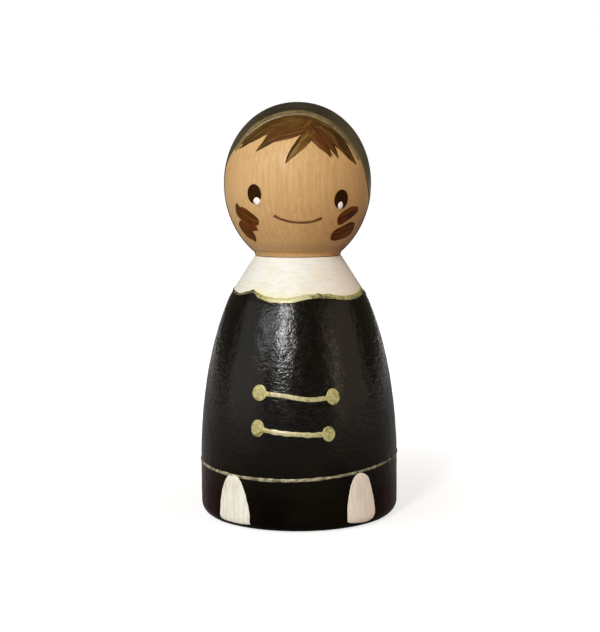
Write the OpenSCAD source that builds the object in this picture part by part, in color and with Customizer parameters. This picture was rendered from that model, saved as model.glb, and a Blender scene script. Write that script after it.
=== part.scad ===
// A turned wooden peg doll in a painted hood and coat.
// The head and the body are two turnings, joined at the neck by a dowel on which the head turns.
// Every painted area is a thin film of its own that stands on the wood, or on the coat under it.
// The doll stands on z = 0 with its axis on z and its face towards -y. Left and right are as
// seen from the front, so left is -x.

/* [Turned body] */
// Width of the bare wooden body at its foot
body_w = 39.8; // [34:0.1:48]
// Height of the neck seam above the table
neck_h = 52.3; // [46:0.5:60]
// Width of the wood at the neck seam
neck_w = 17.2; // [15:0.2:20]
// Height up to which the foot of the body is straight
foot_h = 10.4; // [7:0.1:13]
// Height that the bell curve of the body aims for above the straight foot
bell_rise = 46.8; // [44:0.2:52]
// Height at which the bell curve meets the straight slope of the neck
shoulder_h = 44.4; // [41:0.2:46]
// Radius of the rounded edge under the foot
foot_round = 2.3; // [1:0.1:3]

/* [Turned head] */
// Width of the bare wooden head
head_w = 29.3; // [26:0.1:32]
// Height of the full egg that the lower half of the head follows
egg_h = 33.4; // [31:0.1:36]
// Height of the crown above the widest place of the head
crown_h = 16.2; // [15:0.05:18]
// Height of the short straight neck between the seam and the egg
neck_edge_h = 0.7; // [0.3:0.1:1.5]

/* [Neck dowel] */
// Width of the dowel
dowel_w = 8; // [6:0.5:10]
// Depth of the dowel in the body
dowel_in_body = 14; // [10:0.5:20]
// Depth of the dowel in the head
dowel_in_head = 11; // [8:0.5:14]
// Gap round the dowel in each bore
dowel_gap = 0.05; // [0.02:0.01:0.1]
// Gap between the head and the body at the seam
seam_gap = 0.1; // [0.05:0.05:0.3]
// Free depth of the head's bore above the dowel
bore_end_gap = 0.4; // [0.2:0.1:0.9]

/* [Paint films] */
// Thickness of the main coats of paint
paint_t = 0.2; // [0.1:0.05:0.3]
// Thickness of painted lines and details
line_t = 0.15; // [0.1:0.05:0.3]
// Bare strip between two painted lines that nearly meet
brush_gap = 0.15; // [0.05:0.05:0.3]
// Height of the coat's lower edge above the table
coat_lift = 0.1; // [0.05:0.05:0.4]

/* [Coat and collar] */
// Number of scallops round the collar
scallops = 6; // [5:1:8]
// Direction of the front scallop, turned from the front of the doll
scallop_turn = -13; // [-30:1:30]
// Lowest height of the collar's scallops
collar_low = 44.3; // [42:0.1:45]
// Depth of a scallop
scallop_drop = 1.6; // [1:0.1:2]
// Width of the gold line along the collar
collar_line_w = 0.75; // [0.5:0.05:1]
// Height of the middle of the hem line
hem_h = 10.85; // [10.4:0.05:12]
// Width of the hem line
hem_w = 0.65; // [0.4:0.05:0.9]

/* [Frogs] */
// Width of a frog's end knob
knob_w = 2.9; // [2:0.1:4]
// Height of a frog's end knob
knob_h = 3.7; // [2.5:0.1:4.5]
// Width of the bar between a frog's knobs
bar_w = 1; // [0.6:0.1:1.4]
// Sag of the bar
bar_sag = 0.35; // [0:0.05:0.8]

/* [Stockings] */
// Width of a stocking at its foot
stocking_w = 7.2; // [6:0.1:8.5]
// Height above the table at which the stockings start
stocking_low = 1.2; // [1.2:0.1:2]
// Direction of the left stocking, turned from the front
stocking_left_turn = -37.5; // [-45:0.5:-30]
// Direction of the right stocking, turned from the front
stocking_right_turn = 39; // [30:0.5:45]

/* [Face] */
// Width of an eye
eye_w = 3.3; // [2.5:0.1:4]
// Height of an eye
eye_h = 4; // [3:0.1:5]
// Direction of each eye, left and right of the front
eye_turn = 34.7; // [30:0.1:38]
// Height of the left eye below the middle of the egg
eye_left_below = 1.7; // [1:0.1:2.5]
// Height of the right eye below the middle of the egg
eye_right_below = 2.9; // [2:0.1:3.5]
// Width of the white glint in an eye
glint_w = 1.6; // [1:0.1:2]
// Height of the white glint in an eye
glint_h = 1.75; // [1:0.1:2]
// Height of a glint below the middle of its eye
glint_below = 1.25; // [0.8:0.05:1.5]
// Distance of the left glint to the right of the middle of its eye
glint_left_aside = 0.4; // [0:0.05:0.6]
// Width of the line of the smile
smile_w = 0.6; // [0.4:0.05:0.9]
// Width of an upper lock of hair at the cheek
lock_w = 2; // [1.4:0.1:2.4]
// Direction of the locks, left and right of the front
lock_turn = 46; // [42:1:50]

/* [Hood] */
// Width of the pale line round the hood
hood_line_w = 0.95; // [0.4:0.05:1.2]

/* [Hidden] */
$fn = 144;

// Overrun of every cut past the face that it opens
over = 1;

// Half sizes and heights that the pieces share
body_r = body_w / 2;
neck_r = neck_w / 2;
head_r = head_w / 2;
egg_r = egg_h / 2;
head_low = neck_h + seam_gap;
// Slope on the egg at which it is as wide as the neck, and the height of the egg's middle from that
neck_turn = acos(neck_w / head_w);
egg_mid = head_low + neck_edge_h + egg_r * sin(neck_turn);
dowel_low = neck_h - dowel_in_body;
dowel_top = head_low + dowel_in_head;
// Reach of the cutters that carve the films, past the widest wood
reach = body_w;

// Steps of the curves
foot_steps = 5;
bell_steps = 16;
egg_steps = 9;
crown_steps = 15;
outline_steps = 28;
// How far round the foot's rounded edge the coat is brushed, so that it clears the table
foot_wrap = asin((foot_round - coat_lift) / (foot_round + paint_t));
// Power that bends the crown: 1 is an ellipse, and less is squarer
crown_bend = 0.972;

// Scallops of the collar: radius of the arc that drops by scallop_drop over its share of the girth
scallop_step = 360 / scallops;
scallop_half_w = (body_r * sqrt(1 - pow((collar_low - foot_h) / bell_rise, 2))) * sin(scallop_step / 2);
scallop_r = (pow(scallop_half_w, 2) + pow(scallop_drop, 2)) / (2 * scallop_drop);
scallop_mid = collar_low + scallop_r;
// Height up to which the coat is brushed before the collar cuts it
coat_top = collar_low + 2 * scallop_drop;

// Places of the frogs' knobs, as shares of the body's half width and the neck's height
frog_upper_shares = [[-0.364, 0.516], [0.334, 0.499]];
frog_lower_shares = [[-0.378, 0.386], [0.3, 0.3675]];

// Opening of the hood: its height, and its half widths left and right, as shares of the head.
// The powers give the arch: 2 is an ellipse, and less is more pointed.
hood_top_share = 0.862;
hood_left_share = 0.965;
hood_right_share = 0.93;
hood_left_power = 2;
hood_right_power = 1.5;
// Height above which the pale line is painted
hood_line_low_share = 0.06;
// Power of the arch of a stocking
stocking_power = 2.8;

// Lower edge of the fringe from left to right, as shares of the head's half width and half height
fringe_shares = [
    [-0.8, 0.405], [-0.7, 0.455], [-0.54, 0.53], [-0.36, 0.58], [-0.46, 0.465], [-0.55, 0.38],
    [-0.41, 0.435], [-0.26, 0.485], [-0.09, 0.515], [0.05, 0.545], [-0.05, 0.41], [-0.16, 0.235],
    [-0.035, 0.33], [0.09, 0.425], [0.2, 0.505], [0.325, 0.4], [0.445, 0.3], [0.47, 0.365],
    [0.54, 0.29], [0.515, 0.38], [0.465, 0.47], [0.59, 0.38], [0.7, 0.29], [0.785, 0.22]
];
// Guide points of the smile and of the locks, as shares of the head's half width and half height.
// A lock's run from the hood towards the middle of the face.
smile_shares = [[-0.328, -0.35], [0.005, -0.492], [0.335, -0.377]];
lock_left_shares = [
    [[-0.187, -0.216], [-0.052, -0.403], [0.176, -0.437]],
    [[-0.17, -0.425], [-0.071, -0.566], [-0.039, -0.671]],
    [[-0.123, -0.425], [0.015, -0.479], [0.112, -0.533]]
];
lock_right_shares = [
    [[0.141, -0.293], [-0.1, -0.383], [-0.165, -0.425]],
    [[0.23, -0.521], [-0.024, -0.578], [-0.171, -0.599]]
];
// Width of each lock, as shares of the upper one's
lock_left_w_shares = [1.6, 1.75, 1.3];
lock_right_w_shares = [1.15, 1.7];

// Shape of the brush strokes. A swell over 1 moves the widest place of a stroke towards its end,
// and a blunt of 1 points both ends while a smaller one rounds them.
even_swell = 1;
lock_swell = 0.8;
bar_blunt = 0.2;
smile_blunt = 0.15;
lock_blunt = 0.45;

// Places given as shares of the head, in the plane that the doll faces
function on_head(shares) = [for (p = shares) [p.x * head_r, egg_mid + p.y * egg_r]];

// Outside of the body from the foot's rounded edge up to the neck, grown by t
function body_edge(t) = concat(
    [for (i = [0:foot_steps])
        let (a = -foot_wrap * (1 - i / foot_steps))
        [body_r - foot_round + (foot_round + t) * cos(a), foot_round + (foot_round + t) * sin(a)]],
    [for (i = [0:bell_steps])
        let (a = asin((shoulder_h - foot_h) / bell_rise) * i / bell_steps)
        [body_r * cos(a) + t, foot_h + bell_rise * sin(a)]],
    [[neck_r + t, neck_h]]
);

// Outside of the head from the neck seam up to the crown, grown by t: the lower part of the egg,
// and a crown a little squarer than an ellipse
function head_edge(t) = concat(
    [[neck_r + t, head_low]],
    [for (i = [0:egg_steps])
        let (a = -neck_turn * (1 - i / egg_steps))
        [(head_r + t) * cos(a), egg_mid + (egg_r + t) * sin(a)]],
    [for (i = [1:crown_steps])
        let (a = 90 * i / crown_steps)
        [(head_r + t) * pow(cos(a), crown_bend), egg_mid + (crown_h + t) * pow(sin(a), crown_bend)]]
);

// A list of points taken from its end to its start
function backwards(points) = [for (i = [len(points) - 1:-1:0]) points[i]];

// Half of an arch from its foot to its top: the half width shrinks with the power of the height
function arch_side(half_w, rise, power) = [for (i = [0:outline_steps / 2])
    let (a = 180 * i / outline_steps)
    [half_w * sqrt(max(0, 1 - pow(sin(a), power))), rise * sin(a)]];

// Point at share s of a smooth curve from p[0] to p[2] that leans towards p[1]
function along(p, s) = pow(1 - s, 2) * p[0] + 2 * s * (1 - s) * p[1] + pow(s, 2) * p[2];

// Direction square to that curve at share s
function across(p, s) =
    let (d = (1 - s) * (p[1] - p[0]) + s * (p[2] - p[1]))
    [-d.y, d.x] / norm(d);

// Outline of one brush stroke of width w along that curve
function stroke(p, w, swell, blunt) =
    let (side = [for (i = [0:outline_steps]) let (s = i / outline_steps)
        [s, w / 2 * pow(sin(180 * pow(s, swell)), blunt)]])
    concat(
        [for (q = side) along(p, q[0]) - q[1] * across(p, q[0])],
        [for (i = [outline_steps - 1:-1:1])
            along(p, side[i][0]) + side[i][1] * across(p, side[i][0])]
    );

module oval(w, h, place) {
    translate(place)
        polygon([for (i = [0:outline_steps - 1])
            let (a = 360 * i / outline_steps)
            [w / 2 * cos(a), h / 2 * sin(a)]]);
}

// A thin band of the body's outside between two growths, from height low to height high
module body_band(from, to, low, high) {
    intersection() {
        polygon(concat(body_edge(to), backwards(body_edge(from))));
        translate([0, low])
            square([reach, high - low]);
    }
}

// A thin shell of the whole head between two growths
module head_shell(from, to) {
    rotate_extrude()
        polygon(concat(head_edge(to), backwards(head_edge(from))));
}

// Carries an outline from the plane that the doll faces out through its front, turned by turn
module through_front(turn = 0) {
    rotate([0, 0, turn])
        rotate([90, 0, 0])
            linear_extrude(reach)
                children();
}

// A film on the wood of the head, of thickness t, where the outline reaches
module on_face(t, turn = 0) {
    intersection() {
        head_shell(0, t);
        through_front(turn)
            children();
    }
}

// A second coat over the body's paint, where the outline reaches
module on_coat(turn = 0) {
    intersection() {
        rotate_extrude()
            body_band(paint_t, paint_t + line_t, stocking_low, shoulder_h);
        through_front(turn)
            children();
    }
}

module turned_body() {
    color("burlywood")
        difference() {
            rotate_extrude()
                polygon(concat(
                    [[0, 0]],
                    [for (i = [0:foot_steps])
                        let (a = -90 + (90 - foot_wrap) * i / foot_steps)
                        [body_r - foot_round + foot_round * cos(a), foot_round + foot_round * sin(a)]],
                    [for (i = [1:len(body_edge(0)) - 1]) body_edge(0)[i]],
                    [[0, neck_h]]
                ));
            translate([0, 0, dowel_low])
                cylinder(d = dowel_w + 2 * dowel_gap, h = dowel_in_body + over);
        }
}

module neck_dowel() {
    color("tan")
        translate([0, 0, dowel_low])
            cylinder(d = dowel_w, h = dowel_top - dowel_low);
}

module turned_head() {
    color("burlywood")
        difference() {
            rotate_extrude()
                polygon(concat([[0, head_low]], head_edge(0)));
            translate([0, 0, head_low - over])
                cylinder(d = dowel_w + 2 * dowel_gap, h = dowel_in_head + bore_end_gap + over);
        }
}

// Everything above the scalloped edge of the collar, moved out by grow: one round bore for each
// scallop, that starts inside the neck
module above_scallops(grow = 0) {
    for (i = [0:scallops - 1])
        rotate([0, 0, scallop_turn + i * scallop_step])
            translate([0, -neck_r / 2, scallop_mid])
                rotate([90, 0, 0])
                    cylinder(r = scallop_r + grow, h = reach);
}

module coat() {
    color([0.1, 0.08, 0.07])
        difference() {
            rotate_extrude()
                body_band(0, paint_t, 0, coat_top);
            above_scallops();
        }
}

module collar() {
    color([0.93, 0.91, 0.87])
        intersection() {
            rotate_extrude()
                body_band(0, paint_t, collar_low - over, neck_h);
            union()
                above_scallops();
        }
}

// A gold line along the seam between the coat and the collar
module collar_line() {
    color([0.8, 0.74, 0.45])
        difference() {
            intersection() {
                rotate_extrude()
                    body_band(paint_t, paint_t + line_t, collar_low - over, coat_top);
                union()
                    above_scallops(collar_line_w / 2);
            }
            above_scallops(-collar_line_w / 2);
        }
}

module hem_line() {
    color([0.8, 0.74, 0.45])
        rotate_extrude()
            body_band(paint_t, paint_t + line_t, hem_h - hem_w / 2, hem_h + hem_w / 2);
}

// A frog closure: a knob at each end and the bar between them
module frog(shares) {
    ends = [for (p = shares) [p.x * body_r, p.y * neck_h]];
    middle = (ends[0] + ends[1]) / 2 - [0, 2 * bar_sag];
    color([0.82, 0.76, 0.45])
        on_coat()
            union() {
                for (place = ends)
                    oval(knob_w, knob_h, place);
                polygon(stroke([ends[0], middle, ends[1]], bar_w, even_swell, bar_blunt));
            }
}

module frog_upper() {
    frog(frog_upper_shares);
}

module frog_lower() {
    frog(frog_lower_shares);
}

// A stocking under the hem: an arch that reaches up to the hem line
module stocking(turn) {
    side = arch_side(stocking_w / 2, hem_h - hem_w / 2 - brush_gap - stocking_low, stocking_power);
    color([0.93, 0.91, 0.87])
        on_coat(turn)
            translate([0, stocking_low])
                polygon(concat(side, [for (p = backwards(side)) [-p.x, p.y]]));
}

module stocking_left() {
    stocking(stocking_left_turn);
}

module stocking_right() {
    stocking(stocking_right_turn);
}

// One side of the hood's opening, from below the neck up to the top, shrunk by inset. Over the
// lower half of the egg it keeps to one share of the head's width.
function opening_side(share, power, inset) = concat(
    [[share * neck_r - inset, -egg_mid]],
    [for (i = [0:outline_steps / 2])
        let (a = -neck_turn * (1 - i / outline_steps * 2))
        [share * head_r * cos(a) - inset, egg_r * sin(a)]],
    [for (p = arch_side(share * head_r - inset, hood_top_share * egg_r - inset, power)) if (p.y > 0) p]
);

module hood_opening(inset) {
    right = opening_side(hood_right_share, hood_right_power, inset);
    left = opening_side(hood_left_share, hood_left_power, inset);
    translate([0, egg_mid])
        polygon(concat(right, [for (i = [len(left) - 2:-1:0]) [-left[i].x, left[i].y]]));
}

module hood() {
    color([0.22, 0.2, 0.16])
        difference() {
            head_shell(0, paint_t);
            through_front()
                hood_opening(0);
        }
}

module hood_line() {
    color([0.62, 0.58, 0.42])
        on_face(paint_t + line_t)
            difference() {
                hood_opening(0);
                hood_opening(hood_line_w);
                translate([-reach, -over])
                    square([2 * reach, over + egg_mid + hood_line_low_share * egg_r]);
            }
}

module fringe() {
    lower = on_head(fringe_shares);
    last = lower[len(lower) - 1];
    top = egg_mid + egg_r;
    color([0.38, 0.23, 0.11])
        on_face(line_t)
            intersection() {
                hood_opening(hood_line_w);
                polygon(concat(
                    lower,
                    [[reach, last.y], [reach, top], [-reach, top], [-reach, lower[0].y]]
                ));
            }
}

// An eye is an oval with a white glint low in it
module glint_outline(below, aside) {
    oval(glint_w, glint_h, [aside, egg_mid - below - glint_below]);
}

module eye(turn, below, aside = 0) {
    color([0.13, 0.07, 0.04])
        on_face(line_t, turn)
            difference() {
                oval(eye_w, eye_h, [0, egg_mid - below]);
                glint_outline(below, aside);
            }
}

module glint(turn, below, aside = 0) {
    color([0.96, 0.94, 0.9])
        on_face(line_t + paint_t, turn)
            glint_outline(below, aside);
}

module eye_left() {
    eye(-eye_turn, eye_left_below, glint_left_aside);
}

module eye_right() {
    eye(eye_turn, eye_right_below);
}

module glint_left() {
    glint(-eye_turn, eye_left_below, glint_left_aside);
}

module glint_right() {
    glint(eye_turn, eye_right_below);
}

module smile() {
    color([0.32, 0.17, 0.07])
        on_face(line_t)
            polygon(stroke(on_head(smile_shares), smile_w, even_swell, smile_blunt));
}

// Locks of hair at one cheek, each a dab of the brush that starts broad near the hood
module locks(turn, guides, widths) {
    color([0.3, 0.16, 0.07])
        intersection() {
            on_face(line_t, turn)
                union() {
                    for (i = [0:len(guides) - 1])
                        polygon(stroke(on_head(guides[i]), widths[i] * lock_w, lock_swell, lock_blunt));
                }
            through_front()
                hood_opening(brush_gap);
        }
}

module locks_left() {
    locks(-lock_turn, lock_left_shares, lock_left_w_shares);
}

module locks_right() {
    locks(lock_turn, lock_right_shares, lock_right_w_shares);
}

turned_body();
neck_dowel();
coat();
collar();
collar_line();
hem_line();
frog_upper();
frog_lower();
stocking_left();
stocking_right();
turned_head();
hood();
hood_line();
fringe();
eye_left();
eye_right();
glint_left();
glint_right();
smile();
locks_left();
locks_right();
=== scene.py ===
"""A turned wooden peg doll with a painted hood, coat and face."""

import bpy
import numpy as np
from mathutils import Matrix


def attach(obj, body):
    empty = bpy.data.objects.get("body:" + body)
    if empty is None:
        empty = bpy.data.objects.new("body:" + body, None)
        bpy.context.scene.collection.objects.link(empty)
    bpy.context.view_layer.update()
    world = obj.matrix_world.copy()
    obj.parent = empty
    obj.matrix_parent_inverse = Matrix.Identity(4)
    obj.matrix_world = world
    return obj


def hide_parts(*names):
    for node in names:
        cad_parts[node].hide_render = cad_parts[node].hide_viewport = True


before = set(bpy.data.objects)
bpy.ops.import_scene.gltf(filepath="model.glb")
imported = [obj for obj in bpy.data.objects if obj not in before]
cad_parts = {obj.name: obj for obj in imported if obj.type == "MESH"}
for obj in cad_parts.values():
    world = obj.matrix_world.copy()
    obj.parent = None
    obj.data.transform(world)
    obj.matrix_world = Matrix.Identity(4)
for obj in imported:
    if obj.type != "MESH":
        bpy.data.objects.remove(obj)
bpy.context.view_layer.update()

# Camera and studio.
# The camera stands a quarter of a metre in front of the doll, level with its eyes, and looks down a
# little. The lamps are a window at the upper left, the room's walls, and two small openings.
mm = 0.001


def put(name, data):
    """A new object in the scene."""
    made = bpy.data.objects.new(name, data)
    bpy.context.scene.collection.objects.link(made)
    return made


camera = put("camera", bpy.data.cameras.new("camera"))
camera.data.sensor_fit = "VERTICAL"
camera.data.sensor_height = 36
camera.data.lens = 72.46
camera.data.clip_start = 0.01
camera.data.clip_end = 20
camera.location = (0.356 * mm, -258 * mm, 67 * mm)
camera.rotation_mode = "ZXY"
camera.rotation_euler = (np.radians(84), 0, np.radians(-0.327))
bpy.context.scene.camera = camera
bpy.context.scene.view_settings.view_transform = "Standard"


def tint(red, green, blue, strength=1.0):
    """A colour written as on a screen, from 0 to 255, times a strength, as the light values that a
    shader takes."""
    share = np.array([red, green, blue]) * strength / 255
    light = np.where(share < 0.04045, share / 12.92, ((share + 0.055) / 1.055) ** 2.4)
    return (*light.tolist(), 1)


def add(tree, kind, inputs=None, **settings):
    """Adds a shader node of that kind, links or sets its inputs, and gives its outputs."""
    made = tree.nodes.new("ShaderNode" + kind)
    for name, value in settings.items():
        setattr(made, name, value)
    for name, value in (inputs or {}).items():
        if isinstance(value, bpy.types.NodeSocket):
            tree.links.new(value, made.inputs[name])
        else:
            made.inputs[name].default_value = value
    return made.outputs


def mix(tree, share, first, second, how="MIX"):
    """The first colour blended with the second by a share from 0 to 1."""
    return add(tree, "Mix", {0: share, 6: first, 7: second}, data_type="RGBA", blend_type=how)[2]


def span(tree, value, low, high, to_low=0.0, to_high=1.0):
    """A value between low and high carried over to another range, and held at its ends."""
    ends = {"Value": value, "From Min": low, "From Max": high, "To Min": to_low, "To Max": to_high}
    return add(tree, "MapRange", ends)[0]


def reckon(tree, how, *values):
    """One step of arithmetic on values."""
    return add(tree, "Math", dict(enumerate(values)), operation=how)[0]


def lamp(name, place, size, power, colour=(1, 1, 1)):
    """A soft rectangular lamp at a place, turned towards the doll's middle."""
    light = bpy.data.lights.new(name, "AREA")
    light.color = colour
    light.shape = "RECTANGLE"
    light.size, light.size_y = size
    light.energy = power
    holder = put(name, light)
    holder.location = place
    away = holder.location - type(holder.location)((0, 0, 45 * mm))
    holder.rotation_euler = away.to_track_quat("Z", "Y").to_euler()


lamp("window", (-0.205, -0.50, 0.355), (0.095, 0.28), 2.35)
lamp("left_wall", (-0.62, -0.22, 0.22), (0.60, 0.60), 0.7)
lamp("right_wall", (0.62, -0.28, 0.25), (0.70, 0.60), 0.7, (1.0, 0.82, 0.64))
lamp("curtain", (-0.38, -0.36, 0.32), (0.16, 0.18), 0.32)
lamp("doorway", (0.42, -0.36, 0.16), (0.03, 0.22), 0.07, (1.0, 0.8, 0.55))

# The room gives even light from all round. To the camera it is white. In reflections it is dim, as a
# room behind a photographer is, and white only where the backdrop hangs, behind the doll.
world = bpy.data.worlds.new("room")
world.use_nodes = True
bpy.context.scene.world = world
room = world.node_tree
room.nodes.clear()
ray = add(room, "LightPath")
direction = add(room, "SeparateXYZ", {0: add(room, "TexCoord")["Generated"]})
behind = span(room, direction["Y"], 0.97, 0.995)
mirrored = reckon(room, "MAXIMUM", ray["Is Glossy Ray"], ray["Is Transmission Ray"])
backdrop = reckon(room, "MULTIPLY", mirrored, behind)
seen = reckon(room, "MAXIMUM", ray["Is Camera Ray"], backdrop)
air = mix(room, mirrored, (0.36, 0.33, 0.30, 1), (0.09, 0.08, 0.06, 1))
air = mix(room, seen, air, (1, 1, 1, 1))
sky = add(room, "Background", {"Color": air})[0]
add(room, "OutputWorld", {"Surface": sky})

# Pale paper on the table. It keeps the doll's soft shadow. To the camera, and far off in reflections
# too, it adds the light that it lacks to look white.
floor_mesh = bpy.data.meshes.new("floor")
corner = np.array([[-1, -1], [1, -1], [1, 1], [-1, 1]]) * 3.0
floor_mesh.from_pydata(np.column_stack([corner, np.full(4, -0.02 * mm)]).tolist(), [], [[0, 1, 2, 3]])
floor = put("floor", floor_mesh)
paper = bpy.data.materials.new("paper")
paper.use_nodes = True
sheet = paper.node_tree
sheet.nodes.clear()
ray = add(sheet, "LightPath")
mirrored = reckon(sheet, "MAXIMUM", ray["Is Glossy Ray"], ray["Is Transmission Ray"])
far = add(sheet, "VectorMath", {0: add(sheet, "TexCoord")["Object"]}, operation="LENGTH")["Value"]
backdrop = reckon(sheet, "MULTIPLY", mirrored, span(sheet, far, 0.35, 0.9, 0.0, 0.8))
front = reckon(sheet, "MULTIPLY", ray["Is Camera Ray"], span(sheet, far, 0.03, 0.13, 0.72, 1.0))
lift = reckon(sheet, "MAXIMUM", front, backdrop)
dull = add(sheet, "BsdfDiffuse", {"Color": (0.42, 0.42, 0.42, 1)})[0]
glow = add(sheet, "Emission", {"Color": (1, 1, 1, 1), "Strength": lift})[0]
add(sheet, "OutputMaterial", {"Surface": add(sheet, "AddShader", {0: dull, 1: glow})[0]})
floor_mesh.materials.append(paper)

# Turned body.
# One piece of pale hardwood, turned on a lathe to a bell with a flat foot, and bored at the neck.
# Paint covers all of it but the foot's underside, so the CAD solid stays and gets bare turned wood.
body_r, neck_r, neck_h = 19.9, 8.6, 52.3
foot_h, foot_round, bell_rise, shoulder_h = 10.4, 2.3, 46.8, 44.4


def turned(radius, az, z):
    """Points at a radius from the axis, in direction az from the front towards +x, at height z."""
    return np.stack(np.broadcast_arrays(radius * np.sin(az), -radius * np.cos(az), z), -1)


def body_skin(az, z, out):
    """Points out millimetres outside the body's wood, in direction az at height z. From the foot up
    the radius follows the arc of the foot's edge, a quarter of an ellipse, and the straight slope to
    the neck, with the corner between the last two eased."""
    below = foot_round - np.minimum(z, foot_round)
    foot = np.sqrt(np.maximum((foot_round + out) ** 2 - below**2, 0)) - foot_round
    rise = np.clip(z - foot_h, 0, bell_rise * 0.95) / bell_rise
    bell = body_r * np.sqrt(1 - rise**2) + out
    shoulder_r = body_r * np.sqrt(1 - ((shoulder_h - foot_h) / bell_rise) ** 2)
    slope = shoulder_r + (z - shoulder_h) * (neck_r - shoulder_r) / (neck_h - shoulder_h) + out
    eased = (bell + slope - np.sqrt((bell - slope) ** 2 + 0.2**2)) / 2
    radius = np.where(z < foot_round, body_r + foot, np.where(z < foot_h, body_r + out, eased))
    return turned(radius, az, z)


def group(name, wants, gives):
    """An empty shader node group with those inputs and outputs, and its two end nodes."""
    tree = bpy.data.node_groups.new(name, "ShaderNodeTree")
    for way, sockets in (("INPUT", wants), ("OUTPUT", gives)):
        for socket, kind in sockets.items():
            tree.interface.new_socket(socket, in_out=way, socket_type="NodeSocket" + kind)
    return tree, tree.nodes.new("NodeGroupInput").outputs, tree.nodes.new("NodeGroupOutput").inputs


def send(tree, sockets, values):
    """Links each value to the socket of its name."""
    for name, value in values.items():
        tree.links.new(value, sockets[name])


def noise(tree, where, scale, detail, rough=0.5):
    """Noise from 0 to 1, even in all directions of where."""
    inputs = {"Vector": where, "Scale": scale, "Detail": detail, "Roughness": rough}
    return add(tree, "TexNoise", inputs)["Fac"]


# Grain of the wood: growth rings round a pith that lies off to one side, fine fibres along z, short
# dark pores, clouds, and level bands from the lathe.
grain, take, give = group(
    "turned_grain",
    {"Vector": "Vector", "Pith": "Vector"},
    {"Rings": "Float", "Fibre": "Float", "Pores": "Float", "Cloud": "Float", "Bands": "Float"},
)
where = take["Vector"]
from_pith = add(grain, "VectorMath", {0: where, 1: take["Pith"]}, operation="SUBTRACT")[0]
drift = add(grain, "Mapping", {0: where, "Scale": (1, 1, 0.12)})[0]
waver = add(grain, "TexNoise", {"Vector": drift, "Scale": 130, "Detail": 2})["Color"]
waver = add(grain, "VectorMath", {0: waver, 1: (0.5, 0.5, 0.5)}, operation="SUBTRACT")[0]
waver = add(grain, "VectorMath", {0: waver, "Scale": 0.0028}, operation="SCALE")[0]
bent = add(grain, "VectorMath", {0: from_pith, 1: waver}, operation="ADD")[0]
rings = add(grain, "TexWave", {"Vector": bent, "Scale": 270}, wave_type="RINGS",
            rings_direction="Z")["Fac"]
strands = add(grain, "Mapping", {0: where, "Scale": (1, 1, 0.03)})[0]
dashes = add(grain, "Mapping", {0: where, "Scale": (1, 1, 0.1)})[0]
level = add(grain, "Mapping", {0: where, "Scale": (0.03, 0.03, 1)})[0]
send(grain, give, {"Rings": rings, "Fibre": noise(grain, strands, 2600, 3, 0.6),
                   "Pores": span(grain, noise(grain, dashes, 5200, 1), 0.62, 0.74),
                   "Cloud": noise(grain, where, 90, 1), "Bands": noise(grain, level, 1500, 1)})


def material(name):
    """An empty material with its Principled shader, and its coordinates on the object."""
    made = bpy.data.materials.new(name)
    made.use_nodes = True
    tree = made.node_tree
    shader = tree.nodes["Principled BSDF"].inputs
    return made, tree, shader, add(tree, "TexCoord")["Object"]


def cover(tree, shader, colour, marks, rough, strength, depth, height=None):
    """A surface of that colour. By its marks its roughness goes between two values, and so does its
    relief, depth millimetres deep, unless a height of its own is given."""
    height = marks if height is None else height
    bump = add(tree, "Bump", {"Height": height, "Strength": strength, "Distance": depth * mm})[0]
    dull = span(tree, marks, 0.3, 0.7, *rough)
    send(tree, shader, {"Base Color": colour, "Roughness": dull, "Normal": bump})


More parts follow.
